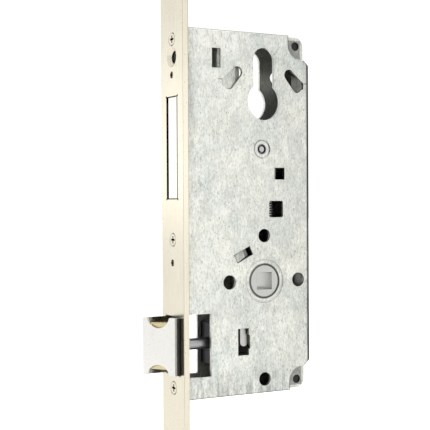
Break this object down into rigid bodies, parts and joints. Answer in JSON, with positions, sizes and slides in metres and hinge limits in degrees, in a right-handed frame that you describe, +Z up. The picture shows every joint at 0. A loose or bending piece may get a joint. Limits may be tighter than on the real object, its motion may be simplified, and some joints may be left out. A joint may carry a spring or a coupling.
{
  "type": "mortise lock",
  "caption": "Euro-profile mortise sash lock: long forend, galvanised case, withdrawn square deadbolt, sprung bevelled latch with scalloped ends, square spindle follower.",
  "frame": {"origin": "on the spindle axis at half the case's thickness", "axes": "+X through the thickness, +Y from the forend into the door, +Z up towards the deadbolt"},
  "size_m": [0.022, 0.0828, 0.24],
  "materials": {
    "galvanised_steel": "hot-dip zinc with a fine spangle, dull",
    "satin_nickel": "warm satin nickel, finely brushed along its length",
    "bright_nickel": "pale satin nickel plate",
    "brass_core": "polished yellow brass",
    "zinc_plate": "bright zinc plate",
    "spring_steel": "bare drawn spring wire and strip",
    "cast_zinc": "tumbled zinc die casting",
    "black_steel": "black oxide, lightly oiled"
  },
  "bodies": {
    "case": {"forend": "satin_nickel", "forend_screws": "satin_nickel", "forend_rivets": "satin_nickel", "case_plate": "galvanised_steel", "case_walls": "galvanised_steel", "case_cover": "galvanised_steel", "case_screws": "black_steel", "bolt_guide_post": "zinc_plate", "bolt_detent_spring": "spring_steel", "spring_bracket": "black_steel", "bracket_rivets": "zinc_plate", "leaf_rivet": "zinc_plate", "follower_spring": "spring_steel", "latch_spring": "spring_steel", "latch_front_guide": "black_steel", "latch_spring_seat": "black_steel"},
    "deadbolt": {"deadbolt_head": "bright_nickel", "deadbolt_tail": "zinc_plate", "deadbolt_pins": "zinc_plate"},
    "follower": {"follower": "cast_zinc"},
    "pusher": {"follower_pusher": "black_steel"},
    "latch": {"latch_head": "bright_nickel", "latch_core": "brass_core", "latch_stem": "zinc_plate", "latch_tail": "zinc_plate", "latch_tail_clip": "spring_steel"}
  },
  "joints": [
    {"name": "follower_turn", "type": "hinge", "parent": "case", "child": "follower", "pos_m": [0, 0, 0], "axis": [1, 0, 0], "range_deg": [0, 23.1], "stiffness_Nm_per_rad": 0.3, "springref_deg": -22.92},
    {"name": "latch_slide", "type": "slide", "parent": "case", "child": "latch", "axis": [0, 1, 0], "range_m": [0, 0.012], "deforming": ["latch_spring"]},
    {"name": "pusher_slide", "type": "slide", "parent": "case", "child": "pusher", "axis": [0, 0, 1], "range_m": [0, 0.0021], "deforming": ["follower_spring"]},
    {"name": "deadbolt_throw", "type": "slide", "parent": "case", "child": "deadbolt", "axis": [0, -1, 0], "range_m": [0, 0.02], "deforming": ["bolt_detent_spring"]}
  ],
  "couplings": [
    {"joint": "latch_slide", "follows": "follower_turn", "m_per_rad": 0.029764},
    {"joint": "pusher_slide", "follows": "follower_turn", "m_per_rad": 0.0052}
  ]
}
